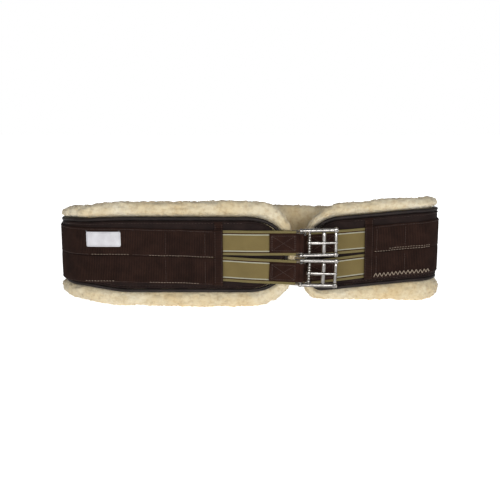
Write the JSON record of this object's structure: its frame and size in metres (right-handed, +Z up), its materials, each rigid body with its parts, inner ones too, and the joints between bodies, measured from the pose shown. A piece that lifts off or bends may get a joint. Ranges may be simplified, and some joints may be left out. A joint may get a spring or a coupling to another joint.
{
  "type": "saddle girth",
  "caption": "Fleece-lined saddle girth folded into a standing oval loop, with elastic straps and roller buckles at both ends.",
  "frame": {"origin": "middle of the bounding box's underside, on the surface that the girth stands on", "axes": "+X along the folded loop towards its tighter bend, -Y towards the side that shows both ends and their buckles, +Z up"},
  "size_m": [0.5222, 0.1202, 0.1449],
  "materials": {
    "fleece": "cream sheepskin-like pile",
    "cover": "dark brown woven cover",
    "binding": "black-brown edge binding",
    "webbing": "dark brown ribbed webbing",
    "elastic": "striped khaki elastic",
    "chape": "dark brown webbing",
    "steel": "polished stainless steel",
    "label": "white woven label, unprinted"
  },
  "bodies": {
    "root": {"fleece": "fleece", "padded_panel": "cover", "edge_binding": "binding", "webbing_upper": "webbing", "webbing_lower": "webbing", "pocket_hem_left": "webbing", "pocket_hem_right": "webbing", "label": "label"},
    "left_upper_strap": {"elastic_left_upper": "elastic", "chape_left_upper": "chape"},
    "left_upper_buckle": {"buckle_frame_left_upper": "steel", "end_bar_left_upper": "steel", "tongue_pin_left_upper": "steel"},
    "left_upper_tongue": {"tongue_left_upper": "steel"},
    "left_upper_roller": {"roller_left_upper": "steel"},
    "left_lower_strap": {"elastic_left_lower": "elastic", "chape_left_lower": "chape"},
    "left_lower_buckle": {"buckle_frame_left_lower": "steel", "end_bar_left_lower": "steel", "tongue_pin_left_lower": "steel"},
    "left_lower_tongue": {"tongue_left_lower": "steel"},
    "left_lower_roller": {"roller_left_lower": "steel"},
    "right_upper_strap": {"elastic_right_upper": "elastic", "chape_right_upper": "chape"},
    "right_upper_buckle": {"buckle_frame_right_upper": "steel", "end_bar_right_upper": "steel", "tongue_pin_right_upper": "steel"},
    "right_upper_tongue": {"tongue_right_upper": "steel"},
    "right_upper_roller": {"roller_right_upper": "steel"},
    "right_lower_strap": {"elastic_right_lower": "elastic", "chape_right_lower": "chape"},
    "right_lower_buckle": {"buckle_frame_right_lower": "steel", "end_bar_right_lower": "steel", "tongue_pin_right_lower": "steel"},
    "right_lower_tongue": {"tongue_right_lower": "steel"},
    "right_lower_roller": {"roller_right_lower": "steel"}
  },
  "joints": [
    {"name": "left_upper_stretch", "type": "slide", "parent": "root", "child": "left_upper_strap", "axis": [1, 0, 0], "range_m": [0, 0.015], "stiffness_N_per_m": 800},
    {"name": "left_upper_buckle_swing", "type": "hinge", "parent": "left_upper_strap", "child": "left_upper_buckle", "pos_m": [0.06505, -0.05617, 0.0889], "axis": [0, 0, -1], "range_deg": [-25, 85]},
    {"name": "left_upper_tongue_swing", "type": "hinge", "parent": "left_upper_buckle", "child": "left_upper_tongue", "pos_m": [0.07594, -0.05464, 0.0889], "axis": [0, 0, -1], "range_deg": [0, 95]},
    {"name": "left_upper_roller_spin", "type": "hinge", "parent": "left_upper_buckle", "child": "left_upper_roller", "pos_m": [0.09515, -0.05194, 0.0889], "axis": [0, 0, 1], "continuous": true},
    {"name": "left_lower_stretch", "type": "slide", "parent": "root", "child": "left_lower_strap", "axis": [0.999, 0, -0.0454], "range_m": [0, 0.015], "stiffness_N_per_m": 800},
    {"name": "left_lower_buckle_swing", "type": "hinge", "parent": "left_lower_strap", "child": "left_lower_buckle", "pos_m": [0.06494, -0.05617, 0.04925], "axis": [-0.0454, 0, -0.999], "range_deg": [-25, 85]},
    {"name": "left_lower_tongue_swing", "type": "hinge", "parent": "left_lower_buckle", "child": "left_lower_tongue", "pos_m": [0.07582, -0.05464, 0.04875], "axis": [-0.0454, 0, -0.999], "range_deg": [0, 95]},
    {"name": "left_lower_roller_spin", "type": "hinge", "parent": "left_lower_buckle", "child": "left_lower_roller", "pos_m": [0.09502, -0.05194, 0.04788], "axis": [0.0454, 0, 0.999], "continuous": true},
    {"name": "right_upper_stretch", "type": "slide", "parent": "root", "child": "right_upper_strap", "axis": [-0.9976, 0, -0.0698], "range_m": [0, 0.012], "stiffness_N_per_m": 800},
    {"name": "right_upper_buckle_swing", "type": "hinge", "parent": "right_upper_strap", "child": "right_upper_buckle", "pos_m": [0.07324, -0.02017, 0.08128], "axis": [0.0698, 0, -0.9976], "range_deg": [-36, 2]},
    {"name": "right_upper_tongue_swing", "type": "hinge", "parent": "right_upper_buckle", "child": "right_upper_tongue", "pos_m": [0.0646, -0.0134, 0.08068], "axis": [-0.0698, 0, 0.9976], "range_deg": [0, 48]},
    {"name": "right_upper_roller_spin", "type": "hinge", "parent": "right_upper_buckle", "child": "right_upper_roller", "pos_m": [0.04935, -0.00145, 0.07961], "axis": [0.0698, 0, -0.9976], "continuous": true},
    {"name": "right_lower_stretch", "type": "slide", "parent": "root", "child": "right_lower_strap", "axis": [-0.9938, 0, -0.1115], "range_m": [0, 0.012], "stiffness_N_per_m": 800},
    {"name": "right_lower_buckle_swing", "type": "hinge", "parent": "right_lower_strap", "child": "right_lower_buckle", "pos_m": [0.07355, -0.02017, 0.04193], "axis": [0.1115, 0, -0.9938], "range_deg": [-36, 2]},
    {"name": "right_lower_tongue_swing", "type": "hinge", "parent": "right_lower_buckle", "child": "right_lower_tongue", "pos_m": [0.06494, -0.0134, 0.04096], "axis": [-0.1115, 0, 0.9938], "range_deg": [0, 48]},
    {"name": "right_lower_roller_spin", "type": "hinge", "parent": "right_lower_buckle", "child": "right_lower_roller", "pos_m": [0.04974, -0.00145, 0.03926], "axis": [0.1115, 0, -0.9938], "continuous": true}
  ]
}
